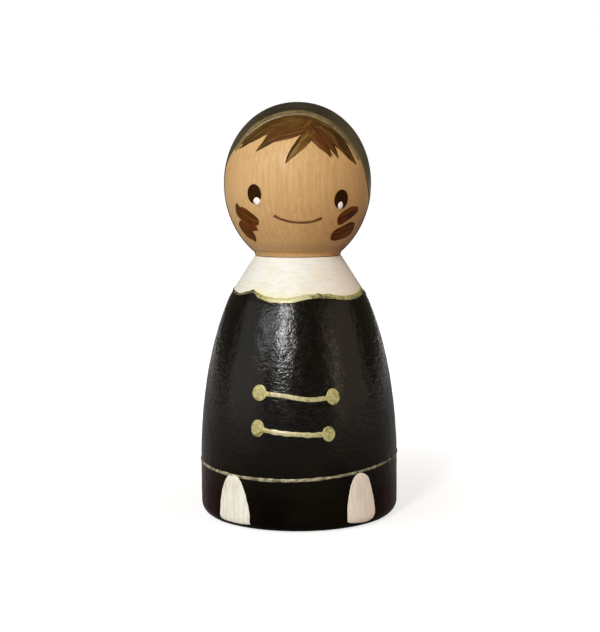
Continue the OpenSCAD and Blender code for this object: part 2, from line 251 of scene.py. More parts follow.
def wood(name, pale, dark, ring, pith, gloss, varnish=0.0, scored=-1.0, painted_cheek_shade=0.0):
    """Turned wood between a pale and a dark colour. Rings tell by the share ring, and low on the right
    the wood is painted darker and redder, a painted warm shade. Round the height scored the lathe tool
    left dark bands. By the share wash, a dusky painted shade darkens the wood low behind the right
    cheek."""
    made, tree, shader, place = material(name)
    parts = add(tree, "Group", {"Vector": place, "Pith": pith}, node_tree=grain)
    spot = add(tree, "SeparateXYZ", {0: place})
    tone = reckon(tree, "MULTIPLY", parts["Rings"], ring)
    tone = reckon(tree, "MULTIPLY_ADD", span(tree, parts["Fibre"], 0.3, 0.7), 1 - ring, tone)
    colour = mix(tree, tone, tint(*pale), tint(*dark))
    cloudy = span(tree, parts["Cloud"], 0.35, 0.7, 0.0, 0.35)
    colour = mix(tree, cloudy, colour, tint(*(np.array(dark) * 0.95 + 5)))
    colour = mix(tree, reckon(tree, "MULTIPLY", parts["Pores"], 0.3), colour, tint(*dark, 0.78))
    # Painted warm shade: low on the right the wood's colour is multiplied to a darker, redder tone.
    depth = add(tree, "VectorMath", {0: place, 1: (0.75, 0, -0.65)}, operation="DOT_PRODUCT")["Value"]
    colour = mix(tree, span(tree, depth, -0.050, -0.027), colour, (0.88, 0.76, 0.62, 1), "MULTIPLY")
    off = reckon(tree, "ABSOLUTE", reckon(tree, "SUBTRACT", spot["Z"], scored))
    off = span(tree, off, 0.5 * mm, 2.2 * mm, 1, 0)
    bands = reckon(tree, "MULTIPLY", span(tree, parts["Bands"], 0.4, 0.6, 0.0, 0.35), off)
    colour = mix(tree, bands, colour, tint(*dark, 0.62))
    # Painted shade: low on the right side of the face, behind the cheek, the wood is darkened to a dusky
    # grey-pink.
    painted_cheek_shade_mask = reckon(tree, "MULTIPLY", span(tree, spot["X"], 0.005, 0.008, 0, painted_cheek_shade),
                    span(tree, spot["Y"], -0.0075, -0.0035))
    painted_cheek_shade_mask = reckon(tree, "MULTIPLY", painted_cheek_shade_mask, span(tree, spot["Z"], 0.0636, 0.059))
    colour = mix(tree, painted_cheek_shade_mask, colour, (0.60, 0.50, 0.68, 1), "MULTIPLY")
    height = reckon(tree, "SUBTRACT", parts["Fibre"], parts["Pores"])
    cover(tree, shader, colour, parts["Fibre"], (gloss - 0.06, gloss + 0.08), 0.35, 0.02, height)
    shader["Specular IOR Level"].default_value = 0.35
    shader["Coat Weight"].default_value = varnish
    shader["Coat Roughness"].default_value = 0.25
    return made


def dress(obj, paint):
    """Gives a piece its material."""
    obj.data.materials.clear()
    obj.data.materials.append(paint)


pith = (-58 * mm, 24 * mm, 0)
bare_wood = wood("bare_turned_wood", (226, 196, 150), (188, 146, 98), 0.6, pith, gloss=0.55)
dress(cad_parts["turned_body"], bare_wood)

# Neck dowel.
# A short length of beech rod in the bores of the head and the body, on which the head turns. It is
# out of sight, so the CAD solid stays.
dowel_wood = wood("dowel_wood", (218, 180, 134), (176, 130, 88), 0.4, (30 * mm, 9 * mm, 0), gloss=0.6)
dress(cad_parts["neck_dowel"], dowel_wood)

# Turned head.
# An egg of the same wood with a short straight neck, bored from below for the dowel and sealed with
# a thin clear varnish. The face is this bare wood.
head_r, egg_r, crown_h, crown_bend = 14.65, 16.7, 16.2, 0.972
head_low, neck_edge_h = 52.4, 0.7
neck_turn = np.arccos(neck_r / head_r)
egg_mid = head_low + neck_edge_h + egg_r * np.sin(neck_turn)
neck_lat = 0.05


def head_skin(az, lat, out):
    """Points out millimetres outside the head's wood, in direction az at the head's own latitude lat:
    an ellipse under the widest place, and a crown over it that is a little squarer, by a power of
    the cosine and sine. Below the egg, the next neck_lat of latitude is the straight neck."""
    egg_lat = np.clip(lat, -neck_turn, np.pi / 2)
    up = egg_lat > 0
    bend = np.where(up, crown_bend, 1.0)
    radius = (head_r + out) * np.cos(egg_lat) ** bend
    rise = np.where(up, crown_h, egg_r) + out
    height = egg_mid + rise * np.sign(egg_lat) * np.abs(np.sin(egg_lat)) ** bend
    height = height - neck_edge_h * np.clip((-neck_turn - lat) / neck_lat, 0, 1)
    return turned(radius, az, np.maximum(height, head_low))


def finish(name, parts, body, node, paint):
    """A piece that stands for a CAD node, with its material: one mesh from parts, each a
    closed surface given as (grid, marks). A grid is points in millimetres. Its columns run round, and
    its rows run from one pole to another, or come round too where the part is (grid, marks, True).
    Its faces are turned to point out. Marks are three values for each point, or None, kept as the
    attribute brush."""
    points, faces, kept, start = [], [], [], 0
    for grid, mark, *ring in parts:
        mark = np.zeros_like(grid) if mark is None else mark
        rows, cols = grid.shape[:2]
        index = np.arange(rows * cols).reshape(rows, cols)
        if not ring:
            index[0], index[-1] = index[0, 0], index[-1, 0]
        used = np.unique(index)
        place = np.searchsorted(used, index)
        grid, mark = grid.reshape(-1, 3)[used], mark.reshape(-1, 3)[used]
        upper = place if ring else place[:-1]
        lower = np.roll(place, -1, 0) if ring else place[1:]
        quads = np.stack([upper, lower, np.roll(lower, -1, 1), np.roll(upper, -1, 1)], -1)
        a, b, c, d = (grid[quads[..., k]] for k in range(4))
        volume = sum(np.einsum("...i,...i", a, np.cross(*two)).sum() for two in ((b, c), (c, d)))
        if volume < 0:
            quads = quads[..., ::-1]
        if ring:
            faces += (quads.reshape(-1, 4) + start).tolist()
        else:
            # At a pole two corners of each quad are one.
            faces += (quads[0][:, [0, 1, 2] if volume >= 0 else [1, 2, 3]] + start).tolist()
            faces += (quads[1:-1].reshape(-1, 4) + start).tolist()
            faces += (quads[-1][:, [0, 1, 3]] + start).tolist()
        points.append(grid)
        kept.append(mark)
        start += len(grid)
    mesh = bpy.data.meshes.new(name)
    mesh.from_pydata((np.concatenate(points) * mm).tolist(), [], faces)
    mesh.polygons.foreach_set("use_smooth", np.ones(len(faces), bool))
    brush = mesh.attributes.new("brush", "FLOAT_VECTOR", "POINT")
    brush.data.foreach_set("vector", np.concatenate(kept).astype(np.float32).ravel())
    obj = put(name, mesh)
    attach(obj, body)
    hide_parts(node)
    dress(obj, paint)


bore_r, bore_top = 4.05, head_low + 11.4
round_az = np.linspace(0, 2 * np.pi, 256, endpoint=False)[None, :]
lats = np.linspace(np.pi / 2, -neck_turn, 160)[:, None]
shell = head_skin(round_az, lats, 0)
# Radius and height, from the seam's eased edge in to the bore and up it.
lower = np.array([[neck_r, head_low + 0.12], [neck_r, head_low + 0.03], [neck_r - 0.03, head_low],
                  [neck_r - 0.1, head_low], [bore_r + 0.1, head_low], [bore_r, head_low],
                  [bore_r, head_low + 0.1], [bore_r, bore_top - 0.1], [bore_r, bore_top],
                  [bore_r - 0.1, bore_top], [0, bore_top]])
inner = turned(lower[:, :1], round_az, lower[:, 1:])
# The face wood carries the painted shade behind its right cheek.
face_wood = wood("varnished_face_wood", (220, 182, 128), (198, 155, 99), 0.25, pith,
                 gloss=0.56, varnish=0.06, scored=(head_low + 1) * mm, painted_cheek_shade=0.9)
egg = np.concatenate([shell, inner])
finish("head_wood", [(egg, None)], "head", "turned_head", face_wood)

# Coat.
# Black acrylic paint brushed over the bell from the collar to the foot, then glossy varnish. The
# brush left a crazed, slightly pebbled skin that breaks up every highlight.
scallops, scallop_turn = 6, np.radians(-13)
collar_low, scallop_drop = 44.3, 1.6
scallop_step = 2 * np.pi / scallops
paint_t, line_t = 0.2, 0.15
shoulder_w = body_r * np.sqrt(1 - ((collar_low - foot_h) / bell_rise) ** 2) * np.sin(scallop_step / 2)
scallop_r = (shoulder_w**2 + scallop_drop**2) / (2 * scallop_drop)


def scallop_edge(az):
    """Height of the collar's edge in each direction: the lowest arc of six, each a circle seen from
    its own scallop's front. The radius is found in four rounds, because it changes with height."""
    turn = (az - scallop_turn + scallop_step / 2) % scallop_step - scallop_step / 2
    height = np.full_like(az, collar_low)
    for _ in range(4):
        radius = np.hypot(*np.moveaxis(body_skin(az, height, paint_t)[..., :2], -1, 0))
        side = np.clip(radius * np.sin(turn), -scallop_r * 0.95, scallop_r * 0.95)
        height = collar_low + scallop_r - np.sqrt(scallop_r**2 - side**2)
    return height


def unevenness(az, h, turns, waves, count, seed):
    """Smooth random unevenness of about -1 to 1: a sum of sine waves, each with a whole number of
    turns round the doll and its own number of waves a millimetre along h."""
    rng = np.random.default_rng(seed)
    total = np.zeros(np.broadcast(az, h).shape)
    for _ in range(count):
        around = rng.integers(-turns, turns + 1)
        along, start = rng.uniform(-waves, waves), rng.uniform(0, 2 * np.pi)
        total += np.sin(around * az + along * 2 * np.pi * h + start)
    return total / np.sqrt(2 * count)


def crown(gap, width):
    """How full a film of paint is at a gap inside its edge: a quarter circle of that width."""
    inside = np.clip(gap / width, 0, 1)
    return np.sqrt(1 - (1 - inside) ** 2)


def band(skin, az, low, high, under, thick, rows, width, relief):
    """A film all the way round. In each direction its section runs up the outside from low to high,
    closer spaced and rounded off at both edges, and back down against what carries it."""
    share = (1 - np.cos(np.linspace(0, np.pi, rows)))[:, None] / 2
    height = low + (high - low) * share
    gap = np.minimum(height - low, high - height)
    full = crown(gap, width)
    rough = unevenness(az, height, 60, 0.35, 40, 5)
    top = skin(az, height, under + thick * full - relief * full * (rough + 1) / 2)
    back = np.linspace(1, 0, max(rows // 6, 3))[1:-1, None]
    return np.concatenate([top, skin(az, low + (high - low) * back, under)])


def by_side(degrees, values):
    """A value all round that changes smoothly with the direction from the front, from values at a few
    of them, by half a cosine wave between each two."""
    share = np.interp(np.degrees(all_round), degrees, np.arange(len(degrees)))
    lower = np.minimum(share.astype(int), len(degrees) - 2)
    eased = (1 - np.cos(np.pi * (share - lower))) / 2
    values = np.array(values, float)
    return values[lower] + (values[lower + 1] - values[lower]) * eased


# The brush left the scallops uneven: the one at the left is higher, and the point between the two in
# front blunter.
all_round = np.linspace(-np.pi, np.pi, 720, endpoint=False)[None, :]
coat_low = 0.13
edge_line = scallop_edge(all_round)
edge_line = edge_line + by_side((-180, -120, -75, -56, -43, -32, -8, 5, 17, 30, 50, 80, 180),
                                (0, 0, 1.0, 0.35, 0.15, -0.1, -0.05, 0, -0.55, 0.05, 0.15, -0.1, 0))


def gloss_paint(name):
    """Black gloss paint: near black with a breath of brown, crazed and pebbled, and with a little
    maroon in it low on both sides."""
    made, tree, shader, place = material(name)
    wide = add(tree, "Mapping", {0: place, "Scale": (1, 1, 1.5)})[0]
    pebbles = noise(tree, wide, 760, 1)
    askew = add(tree, "VectorMath", {0: pebbles, "Scale": 0.5 * mm}, operation="SCALE")[0]
    askew = add(tree, "VectorMath", {0: wide, 1: askew}, operation="ADD")[0]
    cells = add(tree, "TexVoronoi", {"Vector": askew, "Scale": 900}, feature="DISTANCE_TO_EDGE")
    cells = span(tree, cells["Distance"], 0.0, 0.2)
    colour = mix(tree, span(tree, noise(tree, place, 120, 3), 0.35, 0.65), tint(6, 4, 2), tint(17, 12, 4))
    spot = add(tree, "SeparateXYZ", {0: place})
    aside = span(tree, reckon(tree, "ABSOLUTE", spot["X"]), 0.014, 0.020)
    aside = reckon(tree, "MULTIPLY", aside, span(tree, spot["Y"], 0.006, -0.003))
    low = reckon(tree, "MULTIPLY", aside, span(tree, spot["Z"], 0.016, 0.004))
    colour = mix(tree, low, colour, tint(41, 8, 9))
    height = reckon(tree, "MULTIPLY_ADD", cells, 0.2, pebbles)
    cover(tree, shader, colour, pebbles, (0.17, 0.28), 1.0, 0.066, height)
    send(tree, shader, {"Specular IOR Level": span(tree, spot["Z"], 0.006, 0.028, 0.05, 0.4)})
    return made


coat_film = band(body_skin, all_round, coat_low, edge_line, 0, paint_t, 110, 0.1, 0.04)
black_gloss = gloss_paint("black_gloss_paint")
finish("coat_paint", [(coat_film, None, True)], "torso", "coat", black_gloss)

# Collar.
# White acrylic, brushed round the slope of the neck from its seam down to six scallops. Where they
# end, the gold of their line has run a little into the white.

# What the brush leaves in paint: streaks, drawn out along one way by the stroke, and soft clouds.
brushwork, take, give = group(
    "brushwork",
    {"Marks": "Vector", "Stroke": "Vector", "Scale": "Float", "Roughness": "Float", "Place": "Vector",
     "Cloud Scale": "Float"},
    {"Streaks": "Float", "Cloud": "Float"},
)
drawn_out = add(brushwork, "Mapping", {0: take["Marks"], "Scale": take["Stroke"]})[0]
send(brushwork, give, {"Streaks": noise(brushwork, drawn_out, take["Scale"], 3, take["Roughness"]),
                       "Cloud": noise(brushwork, take["Place"], take["Cloud Scale"], 2)})


def brushed(tree, place, cloud, marks, stroke=(1, 1, 1), scale=900.0, rough=0.6):
    """The streaks and the clouds of brushed paint, in a material."""
    inputs = {"Marks": marks, "Stroke": stroke, "Scale": scale, "Roughness": rough, "Place": place,
              "Cloud Scale": cloud}
    return add(tree, "Group", inputs, node_tree=brushwork)


def brush_marks(tree):
    """The attribute brush, whole and in its three values."""
    whole = add(tree, "Attribute", attribute_name="brush")["Vector"]
    return whole, add(tree, "SeparateXYZ", {0: whole})


def white_paint(name, base, warm, stroke_scale, thin=0.92):
    """Matt white acrylic with soft brush marks and a little warmth where it is thin. Where the third
    value of the brush is above 0, gold paint has run into it. Towards the right side it is painted
    pinker, a painted warm cast of the light there."""
    made, tree, shader, place = material(name)
    streaks, cloud = brushed(tree, place, 160, place, stroke_scale, rough=0.55)
    colour = mix(tree, span(tree, cloud, 0.35, 0.7), tint(*base), tint(*warm))
    colour = mix(tree, span(tree, streaks, 0.45, 0.7, 0.0, 0.6), colour, tint(*warm, thin))
    run = brush_marks(tree)[1]["Z"]
    run = reckon(tree, "MULTIPLY", run, span(tree, streaks, 0.3, 0.7, 0.5, 1.2))
    colour = mix(tree, run, colour, tint(236, 228, 166))
    # Painted warm light: towards the right side the white is mixed to a pinker colour.
    aside = add(tree, "SeparateXYZ", {0: place})["X"]
    colour = mix(tree, span(tree, aside, 0.002, 0.013, 0, 0.45), colour, tint(252, 220, 202))
    cover(tree, shader, colour, streaks, (0.42, 0.6), 0.8, 0.08)
    return made


collar_film = band(body_skin, all_round, edge_line, neck_h, 0, paint_t, 60, 0.1, 0.03)
up_edge = collar_film[..., 2] - edge_line
ran = by_side((-180, -60, -30, -10, 20, 60, 180), (0, 0, 0.9, 1, 0.5, 0.6, 0))
ran = np.clip(1.25 - up_edge / 1.3, 0, 1) ** 1.3 * ran
ran = ran[..., None] * [0, 0, 1]
collar_white = white_paint("collar_white_paint", (235, 238, 231), (238, 231, 214), (0.5, 0.5, 2.5))
finish("collar_paint", [(collar_film, ran, True)], "torso", "collar", collar_white)

# Gold lines.
# Pale gold paint, drawn with a liner along the collar's scallops and round the coat above the foot.
# The brush ran thin in places, so the lines change in width and strength. On the right the collar
# # line is also painted darker along its lower half, a painted shadow.


# Gold paint: fine metal flakes in a dull ground, darker where it is thin. At a full of 0 the black
# below shows through, and above 1 the paint is loaded.
gilding, take, give = group(
    "gilding",
    {"Vector": "Vector", "Full": "Float", "Bright": "Color", "Dull": "Color", "Worn": "Float",
     "Thin": "Color", "Loaded": "Color"},
    {"Color": "Color", "Flakes": "Float"},
)
flakes, thin = noise(gilding, take["Vector"], 2600, 2, 0.7), noise(gilding, take["Vector"], 850, 2)
colour = mix(gilding, span(gilding, flakes, 0.35, 0.65), take["Dull"], take["Bright"])
colour = mix(gilding, span(gilding, thin, 0.52, 0.66, 0.0, take["Worn"]), colour, take["Thin"])
patchy = reckon(gilding, "ADD", span(gilding, thin, 0.3, 0.7, 0.35, -0.35), take["Full"])
colour = mix(gilding, span(gilding, patchy, 0.0, 1.0), tint(62, 60, 44), colour)
colour = mix(gilding, span(gilding, take["Full"], 1.0, 1.4), colour, take["Loaded"])
send(gilding, give, {"Color": colour, "Flakes": flakes})


def gilt_paint(name, bright, dull, worn=0.3, loaded=(244, 240, 196)):
    """Pale gold paint of those colours. The third value of the brush is how full it was."""
    made, tree, shader, place = material(name)
    full = brush_marks(tree)[1]["Z"]
    inputs = {"Vector": place, "Full": full, "Bright": tint(*bright), "Dull": tint(*dull), "Worn": worn,
              "Thin": tint(*dull, 0.55), "Loaded": tint(*loaded)}
    colour, flakes = add(tree, "Group", inputs, node_tree=gilding)
    cover(tree, shader, colour, flakes, (0.5, 0.34), 0.8, 0.03)
    shader["Metallic"].default_value = 0.15
    return made


gold = gilt_paint("gold_paint", (205, 199, 138), (158, 146, 84), 0.5)
collar_line_w, hem_h, hem_w = 0.75, 10.85, 0.65
drawn = np.clip(unevenness(all_round, 0, 60, 0, 16, 21), -1, 1)
half = by_side((-180, -60, -45, -30, -8, 17, 60, 180), (0.7, 0.6, 0.7, 1.1, 1.25, 1.15, 1.2, 0.7))
half = collar_line_w / 2 * (half + 0.14 * drawn)
line_film = band(body_skin, all_round, edge_line - half, edge_line + half, paint_t, line_t, 11, 0.3, 0.02)
load = by_side((-180, -60, -42, -33, -20, 8, 17, 30, 60, 180),
               (0.7, 0.25, 0.35, 0.8, 1.17, 1.17, 0.55, 0.9, 0.8, 0.7))
across = (line_film[..., 2] - edge_line) / half
# Painted shadow: on the right the lower half of the collar line is made duller and darker.
load = load + by_side((-180, 8, 25, 80, 180), (0, 0, 0.45, 0.4, 0)) * np.clip(across, -1, 0.2)
marks = load[..., None] * [0, 0, 1]
finish("collar_gold_line", [(line_film, marks, True)], "torso", "collar_line", gold)

drawn = np.clip(unevenness(all_round, 0, 60, 0, 20, 22), -1, 1)
half = by_side((-180, -70, -58, -20, 30, 70, 180), (0.95, 1.05, 0.9, 1.0, 0.9, 0.75, 0.95))
half = hem_w / 2 * (half + 0.2 * drawn)
hem_mid = hem_h - 0.4 + 0.7 * np.sin(all_round) + 1.1 * np.sin(all_round) ** 2
hem_film = band(body_skin, all_round, hem_mid - half, hem_mid + half, paint_t, line_t * 0.9, 9, 0.3, 0.03)
load = by_side((-180, -60, -20, 10, 30, 50, 66, 180), (0.6, 0.62, 0.7, 0.74, 0.44, 0.42, 0.2, 0.6))
marks = 0 * hem_film + load[..., None] * [0, 0, 1]
pale_gold = gilt_paint("hem_gold_paint", (210, 203, 168), (164, 154, 122), 0.5)
finish("hem_gold_line", [(hem_film, marks, True)], "torso", "hem_line", pale_gold)

# Frog closures.
# Two bars of thick gold paint across the front of the coat, drawn with a round brush, that stand for
# its braid fastenings. Each has a knob dabbed at both ends.


def length(vectors):
    """The length of each vector."""
    return np.linalg.norm(vectors, axis=-1)


def pace(skin, az, h):
    """Millimetres on a surface for each unit of its two coordinates, from small steps on it."""
    step = 1e-4
    wide = length(skin(az + step, h, 0) - skin(az - step, h, 0)) / (2 * step)
    tall = length(skin(az, h + step, 0) - skin(az, h - step, 0)) / (2 * step)
    return np.stack([wide, tall], -1)


def stroke(skin, path, left, right, under, thick, width, columns, ridge, seed, number=0):
    """A brush stroke along a path of (az, h): a strip of the given half widths to its left and
    right in millimetres, domed from edge to edge, with low ridges from the bristles, and flat
    underneath. It closes where its width runs out. Gives its grid and its marks: millimetres along
    and across, and the stroke's number."""
    unit = pace(skin, *path.T)
    steps = np.gradient(path, axis=0) * unit
    gone = length(steps)
    along = np.cumsum(gone)
    ahead = steps / np.maximum(gone, 1e-9)[:, None]
    side = np.stack([-ahead[:, 1], ahead[:, 0]], -1)
    across = -np.cos(np.linspace(0, np.pi, columns))
    reach = np.where(across > 0, left[:, None], right[:, None])
    shift = across * reach
    gap = (1 - np.abs(across)) * reach
    full = crown(gap, np.minimum(width, np.maximum(reach, 1e-6)))
    full = full * np.minimum(1, np.minimum(left, right)[:, None] / width) ** 0.5
    hairs = unevenness(across * 3, along[:, None] * 0.06, 6, 1.0, 14, seed)
    out = under + thick * full * (1 - ridge * (hairs + 1) / 2)

    def at(offset, out):
        flat = path[:, None] + offset[..., None] * side[:, None] / unit[:, None]
        return skin(flat[..., 0], flat[..., 1], out)

    top, base = at(shift, out), at(shift[:, ::-1], np.full_like(out, under))[:, 1:-1]
    marks = np.stack(np.broadcast_arrays(along[:, None], shift, float(number)), -1)
    return np.concatenate([top, base], 1), np.concatenate([marks, marks[:, ::-1][:, 1:-1]], 1)


def curve(points, count, ends=True):
    """A smooth curve through guide points (Catmull-Rom), closer spaced at its ends where asked."""
    points = np.asarray(points, float)
    padded = np.concatenate([2 * points[:1] - points[1:2], points, 2 * points[-1:] - points[-2:-1]])
    share = (1 - np.cos(np.linspace(0, np.pi, count))) / 2 if ends else np.linspace(0, 1, count)
    where = share * (len(points) - 1)
    piece = np.minimum(where.astype(int), len(points) - 2)
    t = (where - piece)[:, None]
    a, b, c, d = (padded[piece + k] for k in range(4))
    square, cube = 2 * a - 5 * b + 4 * c - d, 3 * b - a - 3 * c + d
    return 0.5 * (2 * b + (c - a) * t + square * t**2 + cube * t**3)


frog_gold = gilt_paint("frog_gold_paint", (205, 199, 138), (158, 146, 84), 0.5, (232, 219, 194))


def frog(name, guides, knobs, node, seed):
    """A frog from guide points (x, z) along its bar, from knob to knob, and each knob's half width and
    reach up and down: the stroke is as wide as the bar, and swells to each knob as an oval does."""
    flat = curve(guides, 120)
    ends = flat[0], flat[-1]
    lead = np.sin(np.linspace(1, 0, 16, endpoint=False) * np.pi / 2)
    before, after = np.outer(lead, [knobs[0][0], 0]), np.outer(lead[::-1], [knobs[1][0], 0])
    flat = np.concatenate([ends[0] - before, flat, ends[1] + after])
    radius = length(body_skin(0, flat[:, 1], paint_t)[..., :2])
    path = np.stack([np.arcsin(flat[:, 0] / radius), flat[:, 1]], -1)
    bar = 0.47 + 0.07 * unevenness(flat[:, 0], 0, 3, 0, 6, seed)
    upper = lower = np.where((flat[:, 0] > ends[0][0]) & (flat[:, 0] < ends[1][0]), bar, 0)
    for end, (reach, up, down) in zip(ends, knobs):
        knob = np.sqrt(np.maximum(1 - ((flat[:, 0] - end[0]) / reach) ** 2, 0))
        upper, lower = np.maximum(upper, up * knob), np.maximum(lower, down * knob)
    grid, marks = stroke(body_skin, path, upper, lower, paint_t, line_t, 0.45, 17, 0.35, seed, 1.0)
    # Between the knobs the paint is loaded and paler, more so at the left: partly thicker paint, partly a
    #     # painted highlight on the side the light comes from.
    marks[..., 2] += np.where(np.abs(flat[:, :1]) < 5.3, 0.1 - 0.015 * flat[:, :1], 0)
    finish(name, [(grid, marks)], "torso", node, frog_gold)


upper_bar = [(-7.46, 26.93), (-4.5, 26.72), (-2.5, 26.5), (0.3, 26.02), (2.6, 25.8), (6.58, 26.1)]
lower_bar = [(-7.88, 20.12), (-4.9, 19.68), (-2.5, 19.4), (0.3, 19.25), (2.5, 19.1), (5.72, 19.2)]
frog("frog_upper_gold", upper_bar, [(1.36, 1.62, 1.55), (1.27, 1.72, 1.48)], "frog_upper", 31)
frog("frog_lower_gold", lower_bar, [(1.24, 1.75, 1.6), (1.22, 1.5, 1.5)], "frog_lower", 32)

# Stockings.
# Two arches of white acrylic on the black coat, brushed upwards from the foot. Their tops meet the
# hem line.


def patch(skin, centre, outline, under, thick, width, rings, relief, seed):
    """A dab of paint: rings from the middle out to a closed outline of millimetres right and up of
    the centre (az, h), domed over its rim, and back under it to the middle. It has no marks."""
    share = np.sin(np.linspace(0, np.pi / 2, rings))[:, None, None]
    offset = share * outline
    gap = np.min(length(offset[:, :, None] - outline[None, None, ::2]), -1)
    full = crown(np.where(share[..., 0] == 1, 0, gap), width)
    rough = unevenness(offset[..., 0] / 2, offset[..., 1] * 0.3, 8, 1.0, 16, seed)
    out = under + thick * full * (1 - relief * (rough + 1) / 2)

    def at(offset, out):
        h = centre[1] + offset[..., 1] / pace(skin, *np.array(centre))[1]
        az = centre[0] + offset[..., 0] / pace(skin, centre[0] + 0 * h, h)[..., 0]
        return skin(az, h, out)

    back = offset[::-1][1::3]
    back = np.concatenate([back, 0 * back[:1]])
    return np.concatenate([at(offset, out), at(back, np.full(back.shape[:2], under))]), None


def stocking(side, turn, seed, points):
    """An arch from the foot's edge up to the hem line, through points right and up of its middle."""
    outline = curve(points + points[:1], 90, False)[:-1]
    uneven = unevenness(outline[:, 1], outline[:, 0] * 0.2, 3, 0.5, 8, seed + 3)
    outline = outline + 0.04 * uneven[:, None]
    arch = patch(body_skin, (np.radians(turn), 4.5), outline, paint_t, line_t, 0.15, 24, 0.3, seed)
    node = f"stocking_{side}"
    finish(f"{node}_paint", [arch], "torso", node, stocking_white)


stocking_white = white_paint("stocking_white_paint", (248, 247, 231), (240, 230, 212), (2, 2, 0.35), 0.84)
stocking("left", -38.0, 41, [
    (3.3, -3.3), (3.3, -1.3), (2.95, 0.6), (2.45, 2.55), (1.75, 4.2), (1.05, 5.4), (0.0, 6.05),
    (-1.0, 6.1), (-1.95, 5.6), (-2.9, 4.3), (-3.6, 2.6), (-4.1, 0.5), (-4.3, -1.5), (-4.3, -3.0),
    (-2.8, -3.35), (0.8, -3.45)])
stocking("right", 38.8, 42, [
    (2.35, -3.15), (2.88, -2.35), (2.96, -1.55), (2.7, 0.5), (2.1, 2.6), (1.56, 4.3), (0.95, 5.6),
    (-0.1, 6.35), (-1.3, 6.5), (-2.3, 5.85), (-3.0, 4.6), (-3.45, 2.85), (-3.8, 1.15), (-3.9, -0.4),
    (-3.85, -2.0), (-3.6, -2.95), (-1.6, -3.35), (0.86, -3.55)])

# Hood.
# Dark olive-black paint over the crown, the sides and the back of the head, down to the neck seam.
# Its edge arches over the face and sweeps back behind the cheeks, as a bonnet's does.
hood_top = 0.85 * egg_r
# For each side: the share of the head's width, the arch's power, the latitude from which the edge
# sweeps back over the next sweep_lat, and by how many degrees.
hood_sides, sweep_lat = {-1: (0.965, 2.0, 0.5, 15), 1: (0.93, 1.62, 0.08, 21)}, 0.44
lowest = -neck_turn - neck_lat


def latitude(rise):
    """The head's own latitude at a height above its widest place."""
    above = np.clip(rise / crown_h, 0, 1) ** (1 / crown_bend)
    return np.arcsin(np.where(rise > 0, above, np.clip(rise / egg_r, -1, 0)))


def egg_width(lat):
    """The head's half width at a latitude."""
    return length(head_skin(0.0, lat, 0)[..., :2])


def opening(side, inset, count=70):
    """One side of the hood's opening as (az, lat), from the neck up to the top: a fixed share of the
    head's width up to the egg's middle, then an arch whose half width shrinks by a power. From the
    latitude where it starts, the edge sweeps back behind the cheek by a turn."""
    share, power, start, sweep = hood_sides[side]
    low = np.linspace(lowest, 0, count // 2, endpoint=False)
    low_x = share * egg_width(low) - inset
    rise = hood_top - inset
    turn = np.linspace(0, np.pi / 2, count)
    high_x = (share * head_r - inset) * np.sqrt(np.maximum(1 - np.sin(turn) ** power, 0))
    lat = np.concatenate([low, latitude(rise * np.sin(turn))])
    x = np.concatenate([low_x, high_x])
    back = (1 - np.cos(np.pi * np.clip((start - lat) / sweep_lat, 0, 1))) / 2
    az = np.arcsin(np.clip(x / egg_width(lat), -1, 1)) + np.radians(sweep) * back
    return np.stack([side * az, lat], -1)


def from_above(az, lat):
    """The head spread flat round its crown: the distance from the middle is the angle from the crown."""
    return np.stack([(np.pi / 2 - lat) * np.sin(az), -(np.pi / 2 - lat) * np.cos(az)], -1)


def dense(points, count):
    """The same line with points at even distances in its first two columns."""
    gone = np.concatenate([[0], np.cumsum(length(np.diff(points[:, :2], axis=0)))])
    want = np.linspace(0, gone[-1], count)
    return np.stack([np.interp(want, gone, column) for column in points.T], -1)


left_side, right_side = opening(-1, 0), opening(1, 0)
rim = np.concatenate([left_side, right_side[::-1][1:]])
rim = dense(from_above(*rim.T), 260)
nape_az = np.linspace(right_side[0, 0], 2 * np.pi + left_side[0, 0], 180)[1:-1]
nape = from_above(nape_az, np.full(len(nape_az), lowest))
around = np.concatenate([rim, nape])
hood_middle = np.array([0, 0.9])
share = np.sin(np.linspace(0, np.pi / 2, 150))[:, None, None]
flat = hood_middle + share * (around - hood_middle)
head_mean_r = 15.5
gap = np.min(length(flat[:, :, None] - around[None, None, ::3]), -1) * head_mean_r
full = crown(np.where(share[..., 0] == 1, 0, gap), 0.12)


def over_head(flat, out):
    """Points over the head's wood for points of from_above."""
    return head_skin(np.arctan2(flat[..., 0], -flat[..., 1]), np.pi / 2 - length(flat), out)


angle, far = np.arctan2(flat[..., 0], -flat[..., 1]), length(flat)
streak = unevenness(angle, far * 2, 90, 0.4, 40, 51) * np.clip(far, 0, 1)
top = over_head(flat, paint_t * full * (1 - 0.12 * (streak + 1) / 2))
back = flat[::-1][1::6]
back = np.concatenate([back, 0 * back[:1] + hood_middle])
hood_film = np.concatenate([top, over_head(back, 0)])


def hood_paint(name):
    """Dark olive-black paint, half gloss, brushed down from the crown. Towards both sides it is
    painted lighter and browner, a painted sheen.
    """
    made, tree, shader, place = material(name)
    hairs, cloud = brushed(tree, place, 150, place, (1.5, 1.5, 0.6))
    colour = mix(tree, span(tree, cloud, 0.35, 0.65), tint(44, 37, 25), tint(56, 48, 32))
    colour = mix(tree, span(tree, hairs, 0.5, 0.7, 0, 0.55), colour, tint(84, 76, 58))
    colour = mix(tree, span(tree, hairs, 0.5, 0.34, 0, 0.5), colour, tint(28, 23, 14))
    # Painted sheen: towards both sides the paint is mixed to a lighter, browner colour, more on the right.
    aside = add(tree, "SeparateXYZ", {0: place})["X"]
    colour = mix(tree, span(tree, aside, -0.007, -0.013, 0, 0.5), colour, tint(96, 83, 60))
    colour = mix(tree, span(tree, aside, 0.005, 0.012, 0, 0.7), colour, tint(104, 92, 66))
    cover(tree, shader, colour, hairs, (0.28, 0.45), 1.0, 0.09)
    return made


finish("hood_paint", [(hood_film, None)], "head", "hood", hood_paint("hood_dark_paint"))

